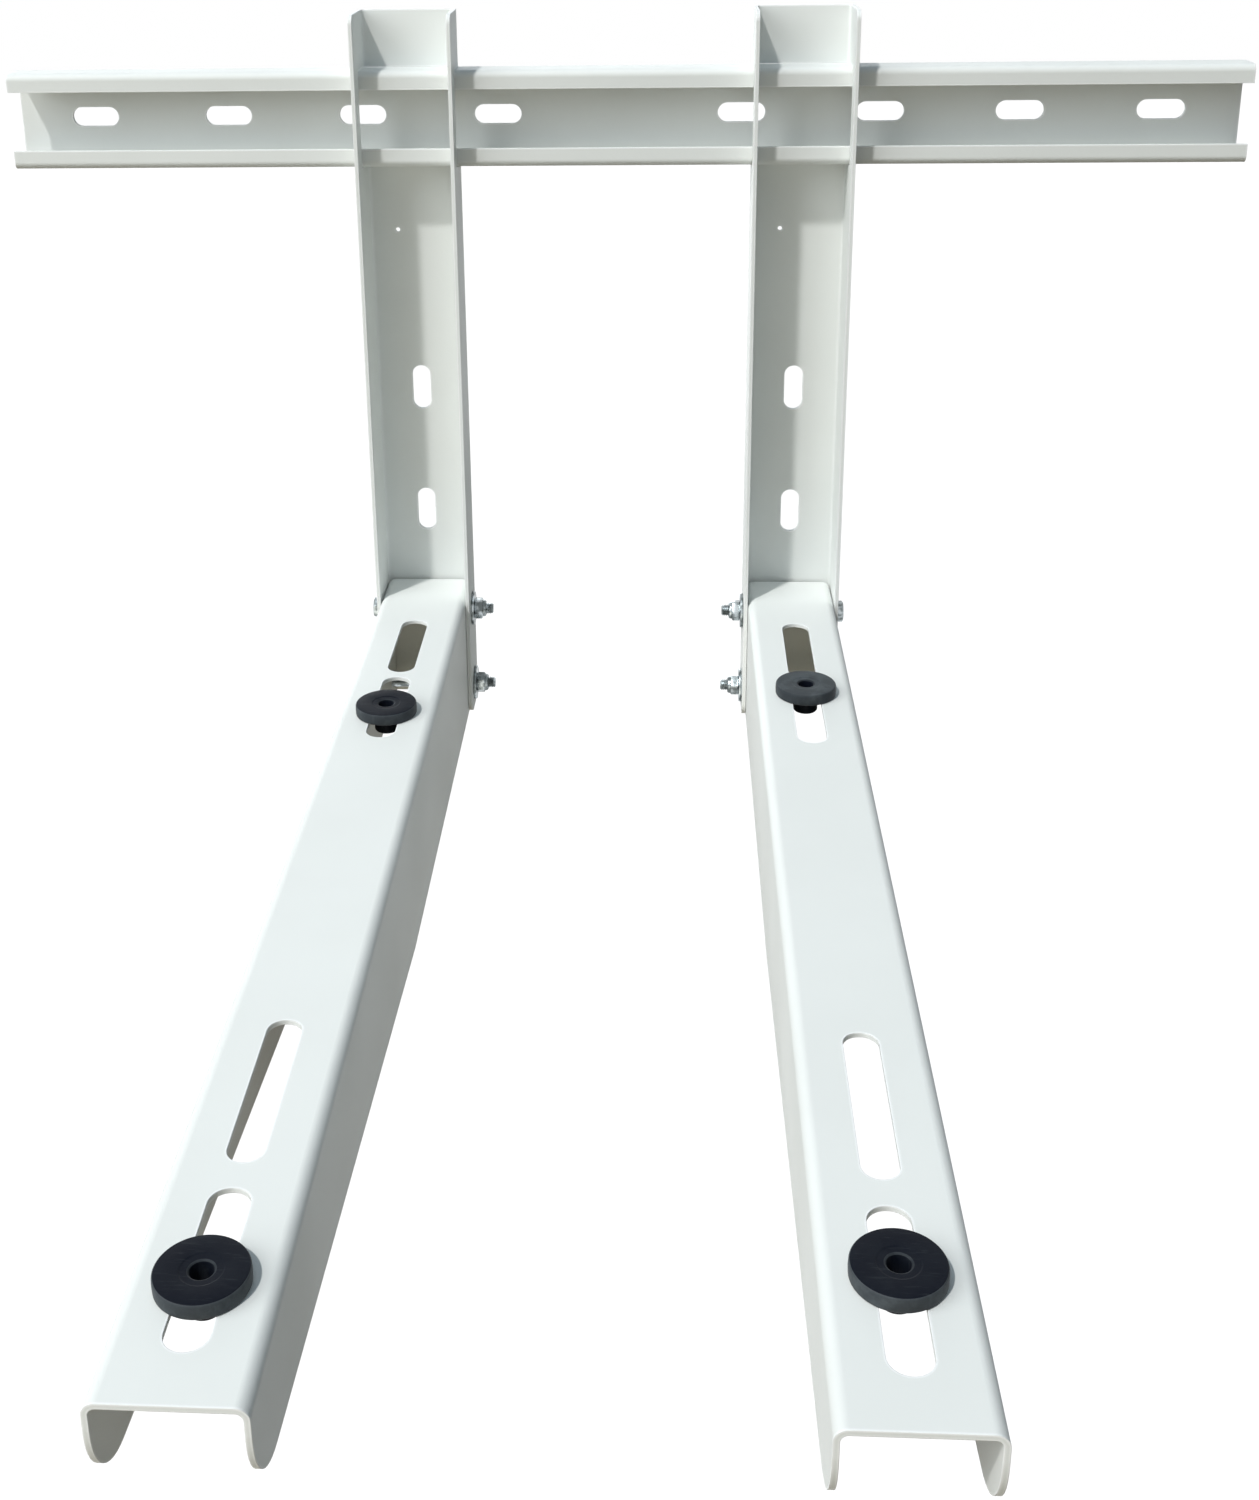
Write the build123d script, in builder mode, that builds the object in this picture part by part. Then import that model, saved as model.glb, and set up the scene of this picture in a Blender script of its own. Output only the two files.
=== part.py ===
"""Wall bracket for an air conditioner outdoor unit: crossbar, two uprights, two arms, pads and bolts.

Millimetres. X runs along the crossbar, the wall is the plane Y = 0 and the bracket stands out
towards -Y, Z is up. The origin is the middle of the crossbar's back, on the wall.
"""

import math
import os

from build123d import *

# Sheet steel, the same gauge for every folded piece
sheet = 2.5
bend_radius = 2.0

# Slots for the wall anchors, in the crossbar and in both uprights
anchor_slot_width = 12.5
anchor_slot_length = 31.0
anchor_slot_pitch = 90.0

# Crossbar: a channel with two lips turned in
bar_length = 800.0
bar_height = 62.0
bar_depth = 27.0
bar_lip = 12.0
bar_middle_pitch = 160.0
bar_slots_per_side = 4

# Uprights: channels that hook over the crossbar
upright_width = 65.0
upright_depth = 43.0
upright_rise = 36.5
upright_drop = 389.0
upright_left_x = -138.0
upright_right_x = 119.0
upright_corner_radius = 6.0
upright_heel_radius = 10.0
hook_clearance = 0.5
upright_slot_drop = 156.5
upright_slot_count = 2
vent_hole_diameter = 3.0
vent_hole_offset = 12.0
vent_hole_drop = 46.0

# Arms: inverted channels that sit between the flanges of the uprights
arm_reach = 754.0
arm_clearance = 0.3
arm_bend_radius = 3.0
arm_sole_rise = 1.0
arm_heel_depth = 88.0
arm_tip_depth = 45.0
arm_taper_start = 340.0
arm_tip_radius = 36.0

# Slots along an arm for the feet of the unit, each with its middle, length and width: two are
# set out from the wall and two from the tip
slots_from_wall = [(121.0, 83.0, 17.5), (212.0, 84.0, 17.5)]
slots_from_tip = [(172.0, 96.0, 16.0), (66.5, 85.0, 17.5)]

# Hexagon bolts across each joint, with a wide washer and a lock nut on the inner side
bolt_diameter = 8.0
bolt_length = 80.0
bolt_end_chamfer = 0.8
bolt_hole_clearance = 1.0
bolt_from_wall = 23.0
upper_bolt_depth = 14.5
bolt_spacing = 58.0
hexagon_width = 13.0
hexagon_flat = 0.95
hexagon_chamfer_angle = 30.0
head_height = 5.3
nut_height = 8.0
nut_hexagon_height = 5.8
nut_collar_diameter = 12.0
nut_collar_chamfer = 1.4
nut_clearance = 0.2
washer_diameter = 24.0
washer_thickness = 2.0
washer_clearance = 0.4

# Rubber pads: a disc on top of the arm and a neck that drops into a slot
pad_diameter = 37.0
pad_thickness = 7.0
pad_edge_chamfer = 0.6
pad_neck_diameter = 15.0
pad_neck_length = 11.0
pad_hole_diameter = 9.5

# The two sides of the bracket: middle of the upright, side of the bolt heads, distance of the
# rear pad from the wall and of the front pad from the tip
sides = {
    "left": (upright_left_x, -1, 221.0, 57.0),
    "right": (upright_right_x, 1, 187.0, 71.0),
}

# Turn of each bolt head and lock nut about its axis, as they were left by the spanner
hexagon_turns = {
    ("left", "upper"): (30.0, 4.0),
    ("left", "lower"): (14.0, 22.0),
    ("right", "upper"): (3.0, 8.0),
    ("right", "lower"): (41.0, 17.0),
}

# Heights and widths that follow from the values above
bar_top = bar_height / 2
upright_top = bar_top + upright_rise
upright_bottom = -bar_top - upright_drop
arm_bottom = upright_bottom + arm_sole_rise
arm_top = arm_bottom + arm_heel_depth
arm_width = upright_width - 2 * (sheet + arm_clearance)
arm_heel = sheet + bend_radius + arm_clearance
foot_slots = slots_from_wall + [(arm_reach - from_tip, *size) for from_tip, *size in slots_from_tip]
bolt_hole_diameter = bolt_diameter + bolt_hole_clearance
bolt_heights = {
    "upper": arm_top - upper_bolt_depth,
    "lower": arm_top - upper_bolt_depth - bolt_spacing,
}


def finish(piece, label):
    """Name a finished piece and write it to its own file."""
    piece.part.label = label
    export_step(piece.part, f"parts/{label}.step")


def inner_corners(corners):
    """Corners of the inside of a folded sheet; it lies to the right of the line round its outside."""
    points = [Vector(*corner) for corner in corners]
    legs = [(end - start).normalized() for start, end in zip(points, points[1:])]
    inward = [Vector(leg.Y, -leg.X) for leg in legs]
    pairs = zip(points, inward[:1] + inward, inward + inward[-1:])
    return [point + (before + after) * (sheet / (1 + before.dot(after))) for point, before, after in pairs]


def folded_section(plane, corners, inner_radius):
    """Section of a folded sheet, from the corners that its outside would have if they were sharp."""
    with BuildSketch(plane) as section:
        with BuildLine():
            outside = FilletPolyline(*corners, radius=inner_radius + sheet)
            inside = FilletPolyline(*inner_corners(corners), radius=inner_radius)
            Line(outside @ 0, inside @ 0)
            Line(outside @ 1, inside @ 1)
        make_face()
    return section.sketch


def crossbar():
    """Lipped channel with two groups of round-ended slots in its back."""
    corners = [
        (-bar_depth, bar_top - bar_lip),
        (-bar_depth, bar_top),
        (0, bar_top),
        (0, -bar_top),
        (-bar_depth, -bar_top),
        (-bar_depth, -bar_top + bar_lip),
    ]
    section = folded_section(Plane.YZ.offset(-bar_length / 2), corners, bend_radius)
    steps = [bar_middle_pitch / 2 + step * anchor_slot_pitch for step in range(bar_slots_per_side)]
    with BuildPart() as bar:
        extrude(section, amount=bar_length)
        with BuildSketch(Plane.XZ):
            with Locations(*[(side * step, 0) for side in (-1, 1) for step in steps]):
                SlotOverall(anchor_slot_length, anchor_slot_width)
        extrude(amount=sheet, mode=Mode.SUBTRACT)
    return bar


def bolt_holes(middle):
    """Outline of both bolt holes, on the middle plane of a channel."""
    with BuildSketch(Plane.YZ.offset(middle)) as holes:
        with Locations(*[(-bolt_from_wall, height) for height in bolt_heights.values()]):
            Circle(bolt_hole_diameter / 2)
    return holes.sketch


def upright(middle):
    """Channel whose back, and the rear of its flanges, are cut away where the crossbar passes."""
    half = upright_width / 2
    corners = [
        (middle - half, -upright_depth),
        (middle - half, 0),
        (middle + half, 0),
        (middle + half, -upright_depth),
    ]
    section = folded_section(Plane.XY.offset(upright_bottom), corners, bend_radius)
    notch_depth = bar_depth + hook_clearance
    notch_height = bar_height + hook_clearance
    holes = bolt_holes(middle)
    with BuildPart() as channel:
        extrude(section, amount=upright_top - upright_bottom)
        front = channel.edges().filter_by(Axis.X).group_by(Axis.Y)[0]
        fillet(front.group_by(Axis.Z)[-1], upright_corner_radius)
        front = channel.edges().filter_by(Axis.X).group_by(Axis.Y)[0]
        fillet(front.group_by(Axis.Z)[0], upright_heel_radius)
        # The top of the notch rests on the crossbar
        with BuildSketch(Plane.YZ.offset(middle)):
            with Locations((-notch_depth / 2, bar_top - notch_height / 2)):
                Rectangle(notch_depth, notch_height)
        extrude(amount=half, both=True, mode=Mode.SUBTRACT)
        with BuildSketch(Plane.XZ):
            first = -bar_top - upright_slot_drop
            steps = range(upright_slot_count)
            with Locations(*[(middle, first - step * anchor_slot_pitch) for step in steps]):
                SlotOverall(anchor_slot_length, anchor_slot_width, rotation=90)
            with Locations((middle - vent_hole_offset, -bar_top - vent_hole_drop)):
                Circle(vent_hole_diameter / 2)
        extrude(amount=sheet, mode=Mode.SUBTRACT)
        extrude(holes, amount=half, both=True, mode=Mode.SUBTRACT)
    return channel


def arm(middle):
    """Inverted channel, level on top, whose flanges get shallower towards a rounded tip."""
    half = arm_width / 2
    corners = [
        (middle - half, arm_bottom),
        (middle - half, arm_top),
        (middle + half, arm_top),
        (middle + half, arm_bottom),
    ]
    section = folded_section(Plane.XZ.offset(arm_heel), corners, arm_bend_radius)
    holes = bolt_holes(middle)
    with BuildPart() as channel:
        extrude(section, amount=arm_reach - arm_heel)
        with BuildSketch(Plane.YZ.offset(middle)) as side_view:
            with BuildLine():
                Polyline(
                    (-arm_heel, arm_top),
                    (-arm_reach, arm_top),
                    (-arm_reach, arm_top - arm_tip_depth),
                    (-arm_taper_start, arm_bottom),
                    (-arm_heel, arm_bottom),
                    close=True,
                )
            make_face()
            fillet(side_view.vertices().group_by(Axis.X)[0].sort_by(Axis.Y)[0], arm_tip_radius)
        extrude(amount=half, both=True, mode=Mode.INTERSECT)
        with BuildSketch(Plane.XY.offset(arm_top)):
            for from_wall, length, width in foot_slots:
                with Locations((middle, -from_wall)):
                    SlotOverall(length, width, rotation=90)
        extrude(amount=-sheet, mode=Mode.SUBTRACT)
        extrude(holes, amount=half, both=True, mode=Mode.SUBTRACT)
    return channel


def turned_hexagon(seat, height, turn):
    """Hexagon standing on its seat, with the corners of its outer end turned off."""
    corner = hexagon_width / 2 / math.cos(math.radians(30))
    flat = hexagon_width / 2 * hexagon_flat
    bevel = (corner - flat) * math.tan(math.radians(hexagon_chamfer_angle))
    outline = [(0, 0), (corner, 0), (corner, height - bevel), (flat, height), (0, height)]
    with BuildPart() as hexagon:
        with BuildSketch(seat):
            RegularPolygon(hexagon_width / 2, 6, major_radius=False, rotation=turn)
        extrude(amount=height)
        with BuildSketch(Plane(seat.origin, x_dir=seat.x_dir, z_dir=-seat.y_dir)):
            with BuildLine():
                Polyline(*outline, close=True)
            make_face()
        revolve(axis=Axis(seat.origin, seat.z_dir), mode=Mode.INTERSECT)
    return hexagon.part


def bolt(seat, turn):
    """Hexagon bolt: the seat is the face under the head, its normal points out through the head."""
    head = turned_hexagon(seat, head_height, turn)
    with BuildPart() as piece:
        add(head)
        with BuildSketch(seat):
            Circle(bolt_diameter / 2)
        extrude(amount=-bolt_length)
        end = piece.edges().filter_by(GeomType.CIRCLE).sort_by_distance(seat.origin)[-1]
        chamfer(end, bolt_end_chamfer)
    return piece


def lock_nut(seat, turn):
    """Nut with a round collar that holds its nylon ring: the seat is the face on the washer."""
    hexagon = turned_hexagon(seat, nut_hexagon_height, turn)
    with BuildPart() as piece:
        add(hexagon)
        with BuildSketch(seat.offset(nut_hexagon_height)):
            Circle(nut_collar_diameter / 2)
        extrude(amount=nut_height - nut_hexagon_height)
        rim = piece.edges().filter_by(GeomType.CIRCLE).sort_by_distance(seat.origin)[-1]
        chamfer(rim, nut_collar_chamfer)
        with BuildSketch(seat):
            Circle((bolt_diameter + nut_clearance) / 2)
        extrude(amount=nut_height, mode=Mode.SUBTRACT)
    return piece


def washer(seat):
    """Wide flat washer lying on its seat."""
    with BuildPart() as piece:
        with BuildSketch(seat):
            Circle(washer_diameter / 2)
            Circle((bolt_diameter + washer_clearance) / 2, mode=Mode.SUBTRACT)
        extrude(amount=washer_thickness)
    return piece


def pad(middle, from_wall):
    """Rubber pad with its disc on the arm and its neck in the slot, bored right through."""
    with BuildPart() as piece:
        with BuildSketch(Plane.XY.offset(arm_top)):
            with Locations((middle, -from_wall)):
                Circle(pad_diameter / 2)
        extrude(amount=pad_thickness)
        chamfer(piece.edges().filter_by(GeomType.CIRCLE).sort_by(Axis.Z)[-1], pad_edge_chamfer)
        with BuildSketch(Plane.XY.offset(arm_top)):
            with Locations((middle, -from_wall)):
                Circle(pad_neck_diameter / 2)
        extrude(amount=-pad_neck_length)
        with BuildSketch(Plane.XY.offset(arm_top + pad_thickness)):
            with Locations((middle, -from_wall)):
                Circle(pad_hole_diameter / 2)
        extrude(amount=-pad_thickness - pad_neck_length, mode=Mode.SUBTRACT)
    return piece


os.makedirs("parts", exist_ok=True)

finish(crossbar(), "crossbar")
for side, (middle, outward, rear_pad, front_pad) in sides.items():
    finish(upright(middle), f"upright_{side}")
    finish(arm(middle), f"arm_{side}")
    finish(pad(middle, rear_pad), f"pad_rear_{side}")
    finish(pad(middle, arm_reach - front_pad), f"pad_front_{side}")
    for level, height in bolt_heights.items():
        head_turn, nut_turn = hexagon_turns[side, level]
        outer_face = (middle + outward * upright_width / 2, -bolt_from_wall, height)
        inner_face = (middle - outward * upright_width / 2, -bolt_from_wall, height)
        head_seat = Plane(outer_face, x_dir=(0, 0, 1), z_dir=(outward, 0, 0))
        washer_seat = Plane(inner_face, x_dir=(0, 0, 1), z_dir=(-outward, 0, 0))
        finish(bolt(head_seat, head_turn), f"bolt_{level}_{side}")
        finish(washer(washer_seat), f"washer_{level}_{side}")
        finish(lock_nut(washer_seat.offset(washer_thickness), nut_turn), f"lock_nut_{level}_{side}")
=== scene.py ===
import math

import bmesh
import bpy
from mathutils import Matrix, Vector


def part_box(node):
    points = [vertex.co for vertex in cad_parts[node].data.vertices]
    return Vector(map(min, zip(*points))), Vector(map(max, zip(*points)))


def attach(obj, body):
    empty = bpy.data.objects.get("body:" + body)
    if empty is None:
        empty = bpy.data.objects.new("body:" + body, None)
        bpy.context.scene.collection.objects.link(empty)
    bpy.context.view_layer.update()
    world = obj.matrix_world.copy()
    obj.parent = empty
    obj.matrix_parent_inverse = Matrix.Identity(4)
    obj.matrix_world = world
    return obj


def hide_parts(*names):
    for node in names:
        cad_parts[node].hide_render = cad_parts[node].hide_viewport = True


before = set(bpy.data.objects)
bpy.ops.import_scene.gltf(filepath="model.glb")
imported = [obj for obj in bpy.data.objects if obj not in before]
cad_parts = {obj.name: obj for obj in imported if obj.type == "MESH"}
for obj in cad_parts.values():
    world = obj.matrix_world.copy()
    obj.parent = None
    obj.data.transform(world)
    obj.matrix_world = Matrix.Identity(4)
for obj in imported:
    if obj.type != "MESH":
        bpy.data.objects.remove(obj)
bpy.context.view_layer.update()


# The crossbar, the two uprights and the two arms: punched and folded from one gauge of steel
# sheet, then powder coated in a cool off-white. The coat has the faint orange peel of a sprayed
# powder and is satin rather than glossy. Its colour is painted whiter round every cut edge, a
# painted highlight where the sun catches the rounded edges.

class Wire:
    """A number, colour or vector on its way through a material. Arithmetic on it adds nodes."""

    def __init__(self, finish, socket):
        self.finish = finish
        self.socket = socket

    def combined(self, operation, first, second):
        return self.finish.node("ShaderNodeMath", {"operation": operation}, {0: first, 1: second})

    def __add__(self, other):
        return self.combined("ADD", self, other)

    def __sub__(self, other):
        return self.combined("SUBTRACT", self, other)

    def __rsub__(self, other):
        return self.combined("SUBTRACT", other, self)

    def __mul__(self, other):
        return self.combined("MULTIPLY", self, other)

    __radd__ = __add__
    __rmul__ = __mul__


class Finish:
    """One material under construction, with its Principled shader."""

    # The places of a Mix node's colour sockets.
    first_colour, second_colour, mixed_colour = 6, 7, 2
    edge_samples = 6

    def __init__(self, name):
        self.material = bpy.data.materials.new(name)
        self.material.use_nodes = True
        self.tree = self.material.node_tree
        self.shader = self.tree.nodes["Principled BSDF"]
        self.place = self.node("ShaderNodeTexCoord", output="Object")

    def feed(self, socket, value):
        if isinstance(value, Wire):
            self.tree.links.new(value.socket, socket)
        else:
            socket.default_value = value

    def node(self, kind, settings=None, values=None, output=0):
        """A node of any kind: its settings first, then a value or a wire for its sockets."""
        node = self.tree.nodes.new(kind)
        for name, setting in (settings or {}).items():
            setattr(node, name, setting)
        for name, value in (values or {}).items():
            self.feed(node.inputs[name], value)
        return Wire(self, node.outputs[output])

    def noise(self, size, detail=2.0, roughness=0.5, place=None):
        values = {"Vector": place or self.place, "Scale": 1 / size, "Detail": detail,
                  "Roughness": roughness}
        return self.node("ShaderNodeTexNoise", None, values, "Fac")

    def blend(self, amount, first, second):
        """Two colours mixed: the first alone at an amount of 0, and the second alone at 1."""
        values = {"Factor": amount}
        for socket, colour in ((self.first_colour, first), (self.second_colour, second)):
            values[socket] = (*colour, 1) if isinstance(colour, tuple) else colour
        return self.node("ShaderNodeMix", {"data_type": "RGBA"}, values, self.mixed_colour)

    def steps(self, value, low, high):
        """0 up to the low value and 1 from the high one, with a smooth rise between them."""
        values = {"Value": value, "From Min": low, "From Max": high}
        return self.node("ShaderNodeMapRange", {"interpolation_type": "SMOOTHSTEP"}, values)

    def softened(self, radius):
        """The direction that the surface faces, turning gently round its sharp edges."""
        return self.node("ShaderNodeBevel", {"samples": self.edge_samples}, {"Radius": radius})

    def rims(self, radius, low, high):
        """1 along the sharp edges, fading to 0 within the radius from them."""
        flat = self.node("ShaderNodeNewGeometry", output="True Normal")
        values = {0: self.softened(radius), 1: flat}
        agreement = self.node("ShaderNodeVectorMath", {"operation": "DOT_PRODUCT"}, values, "Value")
        return self.steps(1 - agreement, low, high)

    def relief(self, height, depth, edge_radius):
        values = {"Height": height, "Distance": depth, "Normal": self.softened(edge_radius)}
        return self.node("ShaderNodeBump", None, values)

    def set(self, **values):
        for name, value in values.items():
            self.feed(self.shader.inputs[name.replace("_", " ")], value)


coat_white = (0.805, 0.828, 0.815)
coat_thin = (0.755, 0.775, 0.76)
# The whiter colour of the painted edge highlight along the cut edges.
coat_edge_highlight = (0.955, 0.965, 0.975)
coat_cloud_size = 0.09
coat_cloud_depth = 0.35
coat_speckle_size = 0.0008
coat_roughness = 0.48
orange_peel_cell = 0.0022
orange_peel_depth = 0.00003
coat_edge_radius = 0.0005
# How far the painted edge highlight reaches in from each sharp edge.
edge_highlight_width = 0.0018

powder_coat = Finish("powder_coat")
cloud_noise = powder_coat.noise(coat_cloud_size, detail=4.0)
cloudiness = powder_coat.steps(cloud_noise, low=0.35, high=0.7)
speckle = powder_coat.noise(coat_speckle_size)
peel = powder_coat.noise(orange_peel_cell, detail=1.0)
flat_coat = powder_coat.blend(cloudiness * coat_cloud_depth, coat_white, coat_thin)
# Painted highlight: the base colour turns whiter along every sharp edge, standing in for sun glints
# on the rounded cut edges.
painted_edge_highlight = powder_coat.rims(edge_highlight_width, low=0.004, high=0.05)
powder_coat.set(
    Base_Color=powder_coat.blend(painted_edge_highlight, flat_coat, coat_edge_highlight),
    Roughness=cloudiness * 0.05 + speckle * 0.06 + coat_roughness,
    Normal=powder_coat.relief(peel, orange_peel_depth, coat_edge_radius),
    Specular_IOR_Level=0.2,
)

for name in ("crossbar", "upright_left", "upright_right", "arm_left", "arm_right"):
    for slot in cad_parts[name].material_slots:
        slot.material = powder_coat.material


# The four pads: blue-black rubber, moulded as a disc with a neck that drops into a slot of the
# arm. The mould leaves a softened rim and a faint ring round the hole. The tops are lightly
# scuffed. A painted highlight lightens the walls and a painted sheen the right rear pad's top,
# and the holes' rims are painted lighter too.

merge_distance = 0.000001


def millimetres(*values):
    return tuple(value / 1000 for value in values)


def picked(*pieces):
    """Selects these pieces and nothing else, and makes the first one active."""
    bpy.ops.object.select_all(action="DESELECT")
    for piece in pieces:
        piece.select_set(True)
    bpy.context.view_layer.objects.active = pieces[0]


def turned(name, outline, steps):
    """A ring turned from a closed outline of radius and height, in millimetres."""
    bpy.ops.object.select_all(action="DESELECT")
    bpy.ops.mesh.primitive_circle_add(vertices=len(outline))
    piece = bpy.context.object
    piece.name = name
    for vertex, (radius, height) in zip(piece.data.vertices, outline):
        vertex.co = millimetres(radius, 0, height)
    bpy.ops.object.mode_set(mode="EDIT")
    bpy.ops.mesh.select_all(action="SELECT")
    bpy.ops.mesh.spin(steps=steps, angle=math.tau, center=(0, 0, 0), axis=(0, 0, 1))
    bpy.ops.mesh.select_all(action="SELECT")
    bpy.ops.mesh.remove_doubles(threshold=merge_distance)
    bpy.ops.mesh.normals_make_consistent(inside=False)
    bpy.ops.object.mode_set(mode="OBJECT")
    return piece


def applied(piece, kind, **settings):
    """Adds a modifier to a piece and applies it."""
    picked(piece)
    modifier = piece.modifiers.new(kind.lower(), kind)
    for name, setting in settings.items():
        setattr(modifier, name, setting)
    bpy.ops.object.modifier_apply(modifier=modifier.name)


def rounded(piece, width, segments, limit):
    """Rounds every edge sharper than the limit in degrees and shades the piece smooth."""
    applied(piece, "BEVEL", width=width / 1000, segments=segments, limit_method="ANGLE",
            angle_limit=math.radians(limit), use_clamp_overlap=True)
    bpy.ops.object.shade_smooth_by_angle(angle=math.radians(limit))


def placed(model, name, place):
    """A copy of a model with its own mesh, moved to its place in the frame."""
    piece = model.copy()
    piece.data = model.data.copy()
    piece.name = name
    bpy.context.collection.objects.link(piece)
    picked(piece)
    piece.matrix_world = place
    bpy.ops.object.transform_apply(location=True, rotation=True, scale=True)
    return piece


def kept(piece, node):
    """Rides a finished piece with the bracket in place of its solid."""
    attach(piece, "root")
    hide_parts(node)


rubber_black = (0.0015, 0.003, 0.008)
# The pale colour of scuffs and handling, and also of the painted highlight and sheen.
rubber_wear_and_sheen = (0.075, 0.086, 0.094)
bloom_size = 0.012
rubber_grain_size = 0.0006
rubber_grain_depth = 0.00004
rubber_edge_radius = 0.0003
scuff_size = 0.012
scuff_turn = (0, 0, 0.6)
scuff_stretch = (1, 9, 1)

rubber = Finish("moulded_rubber")
bloom_noise = rubber.noise(bloom_size, detail=5.0, roughness=0.6)
bloom = rubber.steps(bloom_noise, low=0.4, high=0.75)
grain = rubber.noise(rubber_grain_size, detail=3.0)
# A face attribute that paints the walls, the hole rims and one pad's top lighter: painted highlight
# and sheen.
painted_sheen = rubber.node("ShaderNodeAttribute", {"attribute_name": "painted_sheen"}, output="Fac")
wiping = {"Vector": rubber.place, "Rotation": scuff_turn, "Scale": scuff_stretch}
wiped = rubber.node("ShaderNodeMapping", None, wiping)
scuff_noise = rubber.noise(scuff_size, detail=3.0, roughness=0.6, place=wiped)
scuffs = rubber.steps(scuff_noise, low=0.55, high=0.72)
handling = bloom * 0.07 + grain * 0.05 + scuffs * 0.12
# The attribute's painted highlight and sheen, mottled by the bloom.
sheen_amount = painted_sheen * (bloom * 0.6 + 0.75)
rubber.set(
    Base_Color=rubber.blend(handling + sheen_amount, rubber_black, rubber_wear_and_sheen),
    Roughness=bloom * 0.15 + 0.5,
    Normal=rubber.relief(grain, rubber_grain_depth, rubber_edge_radius),
    Specular_IOR_Level=0.07,
    Sheen_Weight=0.06,
    Sheen_Roughness=0.35,
)

disc_height = 7.0
pad_outline = [
    (4.75, -11.0), (6.8, -11.0), (7.5, -10.0), (7.5, -1.2), (7.9, 0.0), (17.9, 0.0), (18.5, 0.7),
    (18.62, 3.5), (18.5, 6.3), (17.9, disc_height), (8.7, disc_height), (8.2, 6.7), (5.6, 6.7),
    (4.75, 6.1),
]
pad_model = turned("pad_model", pad_outline, steps=120)
rounded(pad_model, width=0.25, segments=2, limit=20)
pad_model.data.materials.append(rubber.material)
pad_model.data.attributes.new("painted_sheen", "FLOAT", "FACE")

wall_from_radius = 18.0
hole_rim_radii = (4.8, 5.6)
top_from_height = 6.0
hole_rim_sheen = 0.35
# How much each pad's walls and top are painted lighter: painted highlight on the walls, painted
# sheen on the right rear top.
pad_painted_sheen = {
    "pad_rear_left": {"top": 0.03, "wall": 0.7},
    "pad_front_left": {"top": 0, "wall": 0.85},
    "pad_rear_right": {"top": 0.85, "wall": 0.65},
    "pad_front_right": {"top": 0, "wall": 0.85},
}


def sheen_painted(model, top, wall):
    """Paints the faces of the pad's model lighter: a painted highlight on its wall, a lighter rim
    round its hole and a painted sheen on its top.
    """
    for face, amount in zip(model.data.polygons, model.data.attributes["painted_sheen"].data):
        radius = math.hypot(face.center.x, face.center.y) * 1000
        height = face.center.z * 1000
        if radius > wall_from_radius:
            amount.value = wall
        elif hole_rim_radii[0] < radius < hole_rim_radii[1]:
            amount.value = hole_rim_sheen
        elif height > top_from_height:
            amount.value = top


for name, amounts in pad_painted_sheen.items():
    low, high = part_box(name)
    middle = (Vector(low) + Vector(high)) / 2
    seat = Vector((middle.x, middle.y, high[2] - disc_height / 1000))
    sheen_painted(pad_model, **amounts)
    piece = placed(pad_model, "rubber_" + name, Matrix.Translation(seat))
    kept(piece, name)
bpy.data.objects.remove(pad_model)


# The bolts, washers and lock nuts, two sets across each joint of arm and upright: cold-formed
# steel in a bright, slightly blue zinc plate. The bolt heads bear on the outer sides of the
# uprights, and the nuts hold their nylon ring in a rolled collar.

zinc_bright = (0.50, 0.55, 0.57)
zinc_dull = (0.09, 0.105, 0.105)
zinc_cloud_size = 0.006
zinc_frost_size = 0.0005
zinc_frost_depth = 0.00001
zinc_edge_radius = 0.00015

zinc = Finish("zinc_plate")
zinc_cloud_noise = zinc.noise(zinc_cloud_size, detail=3.0, roughness=0.55)
clouds = zinc.steps(zinc_cloud_noise, low=0.38, high=0.62)
frost = zinc.noise(zinc_frost_size)
zinc.set(
    Base_Color=zinc.blend(clouds * 0.9, zinc_bright, zinc_dull),
    Metallic=1.0,
    Roughness=clouds * 0.14 + frost * 0.08 + 0.2,
    Normal=zinc.relief(frost, zinc_frost_depth, zinc_edge_radius),
)

nylon_pale = (0.74, 0.76, 0.78)
nylon_deep = (0.66, 0.68, 0.70)
nylon_cloud_size = 0.002
nylon_grain_size = 0.001

nylon = Finish("nylon_ring")
nylon.set(
    Base_Color=nylon.blend(nylon.noise(nylon_cloud_size), nylon_pale, nylon_deep),
    Roughness=nylon.noise(nylon_grain_size) * 0.1 + 0.38,
)

across_flats = 13.0
crown_share = 0.95
crown_angle = math.radians(30)
crown_sides = 120
head_height = 5.3
bolt_radius = 4.0
bolt_length = 80.0
bolt_sides = 48
thread_length = 22.0
thread_pitch = 1.25
thread_depth = 0.62
groove_floor = 0.15
groove_mouth = 0.4
rings_per_turn = 10
end_chamfer = 0.9
level_within = 0.0001


def hexagon(name, height, both_ends):
    """A hexagon from z = 0 up, with the corners of its top, or of both ends, turned off."""
    corner = across_flats / 2 / math.cos(math.radians(30))
    crown = across_flats / 2 * crown_share
    spread = height / math.tan(crown_angle)
    middle = millimetres(0, 0, height / 2)
    bpy.ops.object.select_all(action="DESELECT")
    bpy.ops.mesh.primitive_cylinder_add(
        vertices=6, radius=corner / 1000, depth=height / 1000, location=middle)
    piece = bpy.context.object
    piece.name = name
    for end in (1, -1) if both_ends else (1,):
        foot_radius, top_radius = millimetres(crown + spread, crown)[::end]
        bpy.ops.mesh.primitive_cone_add(
            vertices=crown_sides, radius1=foot_radius, radius2=top_radius,
            depth=height / 1000, location=middle)
        cone = bpy.context.object
        applied(piece, "BOOLEAN", operation="INTERSECT", object=cone, solver="EXACT")
        bpy.data.objects.remove(cone)
    bpy.ops.object.transform_apply(location=True, rotation=True, scale=True)
    return piece


def joined(*pieces):
    """One object made of several, under the first one's name."""
    picked(*pieces)
    bpy.ops.object.join()
    return pieces[0]


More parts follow.
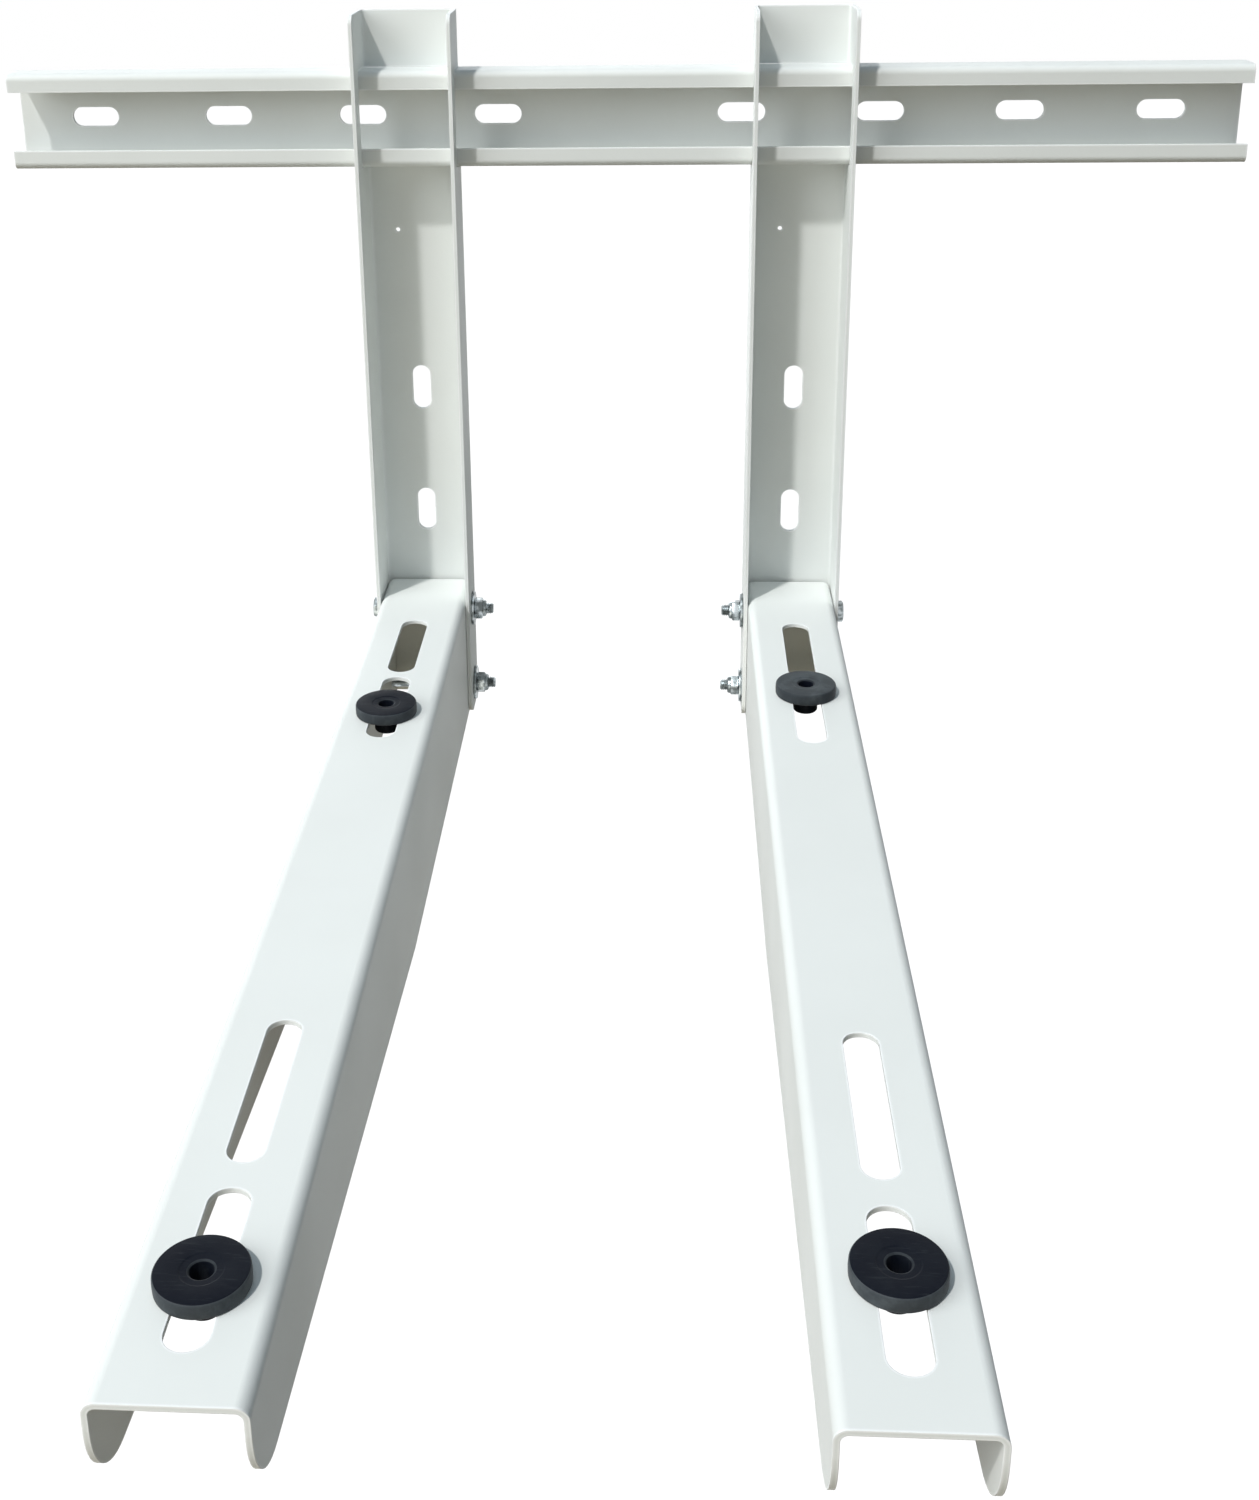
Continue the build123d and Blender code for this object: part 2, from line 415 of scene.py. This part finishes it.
def rod(name, bottom, top, rings):
    """A closed round rod of the bolt's radius, ringed at even steps along its length."""
    bpy.ops.object.select_all(action="DESELECT")
    bpy.ops.mesh.primitive_cylinder_add(
        vertices=bolt_sides, radius=bolt_radius / 1000, depth=(top - bottom) / 1000,
        location=millimetres(0, 0, (top + bottom) / 2))
    piece = bpy.context.object
    piece.name = name
    bpy.ops.object.transform_apply(location=True, rotation=True, scale=True)
    bpy.ops.object.mode_set(mode="EDIT")
    bpy.ops.mesh.select_all(action="DESELECT")
    mesh = bmesh.from_edit_mesh(piece.data)
    for edge in mesh.edges:
        start, end = [vertex.co for vertex in edge.verts]
        edge.select = abs(start.z - end.z) > level_within
    bmesh.update_edit_mesh(piece.data)
    bpy.ops.mesh.subdivide(number_cuts=rings)
    bpy.ops.object.mode_set(mode="OBJECT")
    return piece


def threaded(piece, bottom):
    """Presses a thread into a rod, all the way up, and chamfers the rod's lower end."""
    for vertex in piece.data.vertices:
        height = vertex.co.z * 1000
        angle = math.atan2(vertex.co.y, vertex.co.x)
        radius = math.hypot(vertex.co.x, vertex.co.y) * 1000
        if radius < bolt_radius / 2:
            continue
        turn = (height / thread_pitch - angle / math.tau) % 1
        slope = (groove_mouth - abs(turn - 0.5)) / (groove_mouth - groove_floor)
        cut = bolt_radius - thread_depth * min(1.0, max(0.0, slope))
        end_cone = bolt_radius - end_chamfer + (height - bottom)
        size = min(cut, end_cone) / radius
        vertex.co.x *= size
        vertex.co.y *= size


head = hexagon("bolt_model", head_height, both_ends=False)
rounded(head, width=0.18, segments=2, limit=25)
thread_top = thread_length - bolt_length
thread_rings = round(thread_length / thread_pitch * rings_per_turn) - 1
shank = rod("shank", bottom=thread_top, top=0, rings=1)
thread = rod("thread", bottom=-bolt_length, top=thread_top, rings=thread_rings)
threaded(thread, bottom=-bolt_length)
for piece in (shank, thread):
    picked(piece)
    bpy.ops.object.shade_smooth_by_angle(angle=math.radians(35))
bolt_model = joined(head, shank, thread)
bolt_model.data.materials.append(zinc.material)

hole_radius = 4.2
washer_radius = 12.0
washer_thickness = 2.0
washer_outline = [
    (hole_radius, 0), (washer_radius, 0),
    (washer_radius, washer_thickness), (hole_radius, washer_thickness),
]
ring_steps = 96
washer_model = turned("washer_model", washer_outline, ring_steps)
rounded(washer_model, width=0.3, segments=3, limit=30)
washer_model.data.materials.append(zinc.material)

nut_hexagon_height = 5.8
nut_bore_radius = 4.1
nut_bore_depth = 20.0
nut_body = hexagon("nut_model", nut_hexagon_height, both_ends=True)
bpy.ops.object.select_all(action="DESELECT")
bpy.ops.mesh.primitive_cylinder_add(
    vertices=ring_steps, radius=nut_bore_radius / 1000, depth=nut_bore_depth / 1000)
bore = bpy.context.object
applied(nut_body, "BOOLEAN", operation="DIFFERENCE", object=bore, solver="EXACT")
bpy.data.objects.remove(bore)
rounded(nut_body, width=0.15, segments=2, limit=25)

collar_outline = [
    (4.9, 5.6), (6.0, 5.6), (6.0, 6.6), (5.85, 7.2), (5.45, 7.75), (4.95, 8.0), (4.6, 7.95),
    (4.6, 7.7), (4.9, 7.5),
]
collar = turned("collar", collar_outline, ring_steps)
rounded(collar, width=0.08, segments=2, limit=40)
ring_outline = [(4.0, 5.8), (4.85, 5.8), (4.85, 7.45), (4.5, 7.75), (4.15, 7.6), (4.0, 7.3)]
ring = turned("ring", ring_outline, ring_steps)
rounded(ring, width=0.1, segments=2, limit=25)
for piece in (nut_body, collar):
    piece.data.materials.clear()
    piece.data.materials.append(zinc.material)
ring.data.materials.append(nylon.material)
nut_model = joined(nut_body, collar, ring)

quarter_turn = math.radians(90)


def corner_turn(node, centre):
    """The turn of a solid's hexagon about the bolt's axis, from the corner farthest from it."""
    def reach(vertex):
        return math.hypot(vertex.co.y - centre.y, vertex.co.z - centre.z)

    corner = max(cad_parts[node].data.vertices, key=reach)
    return math.atan2(corner.co.z - centre.z, corner.co.y - centre.y)


def across(foot, direction, turn):
    """The place of a model that stands on the foot with its z axis along the bolt."""
    tilt = Matrix.Rotation(quarter_turn * direction, 4, "Y")
    return Matrix.Translation(foot) @ Matrix.Rotation(turn, 4, "X") @ tilt


def ends(node, outward):
    """Where a solid starts and stops along its bolt, from the inner side outwards."""
    low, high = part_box(node)
    return (low[0], high[0])[::outward]


for side, outward in (("left", -1), ("right", 1)):
    for level in ("upper", "lower"):
        joint = f"{level}_{side}"
        low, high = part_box("washer_" + joint)
        centre = (Vector(low) + Vector(high)) / 2
        nut_face, seat_face = ends("washer_" + joint, outward)
        head_face = ends("bolt_" + joint, outward)[1] - outward * head_height / 1000
        bolt_turn = corner_turn("bolt_" + joint, centre) + quarter_turn
        nut_turn = corner_turn("lock_nut_" + joint, centre) + quarter_turn
        for model, name, node, face, direction, turn in (
            (bolt_model, "zinc_bolt_", "bolt_", head_face, outward, bolt_turn),
            (washer_model, "zinc_washer_", "washer_", seat_face, -outward, 0),
            (nut_model, "zinc_nut_", "lock_nut_", nut_face, -outward, nut_turn),
        ):
            foot = Vector((face, centre.y, centre.z))
            piece = placed(model, name + joint, across(foot, direction, turn))
            kept(piece, node + joint)
for model in (bolt_model, washer_model, nut_model):
    bpy.data.objects.remove(model)


# The studio: a plain floor far below the bracket and a plain sky, both white to the eye. The sun
# comes over the left shoulder, with soft lamps at the left, low in front, overhead and behind.
# The floor keeps the bracket's shadow, and throws back only the faint warm light of bare ground.

def white_where_seen(tree, light, white, surface):
    """Shows white to the camera and in reflections, and lets another shader light the scene."""
    rays = tree.nodes.new("ShaderNodeLightPath").outputs
    seen = rays["Is Camera Ray"]
    for kind in ("Is Glossy Ray", "Is Transmission Ray"):
        either = tree.nodes.new("ShaderNodeMath")
        either.operation = "MAXIMUM"
        tree.links.new(seen, either.inputs[0])
        tree.links.new(rays[kind], either.inputs[1])
        seen = either.outputs[0]
    mix = tree.nodes.new("ShaderNodeMixShader")
    tree.links.new(seen, mix.inputs[0])
    tree.links.new(light, mix.inputs[1])
    tree.links.new(white, mix.inputs[2])
    tree.links.new(mix.outputs[0], surface)


floor_height = -5.0
floor_size = 80
ground_colour = (0.09, 0.07, 0.035, 1)
floor_pale = (0.4, 0.4, 0.4, 1)
floor_glow = 0.8

bpy.ops.object.select_all(action="DESELECT")
bpy.ops.mesh.primitive_plane_add(size=floor_size, location=(0, 0, floor_height))
floor = bpy.context.object
floor.name = "floor"
ground = Finish("floor")
ground.set(Base_Color=ground_colour, Roughness=0.9, Specular_IOR_Level=0.1)
pale = ground.node("ShaderNodeBsdfDiffuse", None, {"Color": floor_pale})
glow = ground.node("ShaderNodeEmission", None, {"Strength": floor_glow})
shadowed_white = ground.node("ShaderNodeAddShader", None, {0: pale, 1: glow})
floor_output = ground.tree.nodes["Material Output"]
white_where_seen(
    ground.tree, ground.shader.outputs[0], shadowed_white.socket, floor_output.inputs["Surface"])
floor.data.materials.append(ground.material)

sky_colour = (0.80, 0.92, 1.0, 1)
sky_strength = 0.21

world = bpy.data.worlds.new("studio")
world.use_nodes = True
bpy.context.scene.world = world
sky = world.node_tree.nodes["Background"]
sky.inputs["Color"].default_value = sky_colour
sky.inputs["Strength"].default_value = sky_strength
plain_white = world.node_tree.nodes.new("ShaderNodeBackground")
plain_white.inputs["Color"].default_value = (1, 1, 1, 1)
sky_output = world.node_tree.nodes["World Output"]
white_where_seen(
    world.node_tree, sky.outputs[0], plain_white.outputs[0], sky_output.inputs["Surface"])

sun_travel = Vector((0.8, 1.0, -1.9))
sun_strength = 1.88
sun_angle = 3
sun_colour = (1.0, 0.99, 0.965)

bpy.ops.object.light_add(type="SUN", location=-sun_travel)
sun = bpy.context.object
sun.data.energy = sun_strength
sun.data.angle = math.radians(sun_angle)
sun.data.color = sun_colour
sun.rotation_euler = sun_travel.to_track_quat("-Z", "Y").to_euler()


def soft_lamp(place, size, power, colour):
    """A square lamp that faces the origin, at the middle of the crossbar."""
    bpy.ops.object.light_add(type="AREA", location=place)
    lamp = bpy.context.object
    lamp.data.energy = power
    lamp.data.size = size
    lamp.data.color = colour
    lamp.rotation_euler = (-Vector(place)).to_track_quat("-Z", "Y").to_euler()


soft_lamp(place=(-3.1, -2.15, 1.85), size=3.0, power=102, colour=(0.95, 0.98, 0.97))
soft_lamp(place=(-0.5, -2.6, -1.5), size=2.4, power=14, colour=(1.0, 0.91, 0.7))
soft_lamp(place=(0.0, -0.6, 5.0), size=4.0, power=25, colour=(0.55, 0.8, 1.0))
soft_lamp(place=(-0.8, 3.4, 0.1), size=3.0, power=45, colour=(0.95, 0.98, 1.0))

picture_width, picture_height = 1259, 1500
focal_length = 1855.95
principal_x, principal_y = 554.57, 501.03
sensor_width = 36
camera_place = Vector((0.0317, -1.2377, 0.1726))
camera_pitch = 0.3445
camera_yaw = 0.0635
camera_roll = -0.0162

bpy.ops.object.camera_add()
camera = bpy.context.object
camera.data.sensor_width = sensor_width
camera.data.lens = focal_length / picture_height * sensor_width
camera.data.shift_x = (picture_width / 2 - principal_x) / picture_height
camera.data.shift_y = (principal_y - picture_height / 2) / picture_height
aim = Matrix.Rotation(camera_yaw, 4, "Z") @ Matrix.Rotation(math.pi / 2 - camera_pitch, 4, "X")
camera.matrix_world = Matrix.Translation(camera_place) @ aim @ Matrix.Rotation(camera_roll, 4, "Z")
camera.data.clip_end = 200
bpy.context.scene.camera = camera
bpy.context.scene.view_settings.view_transform = "Standard"
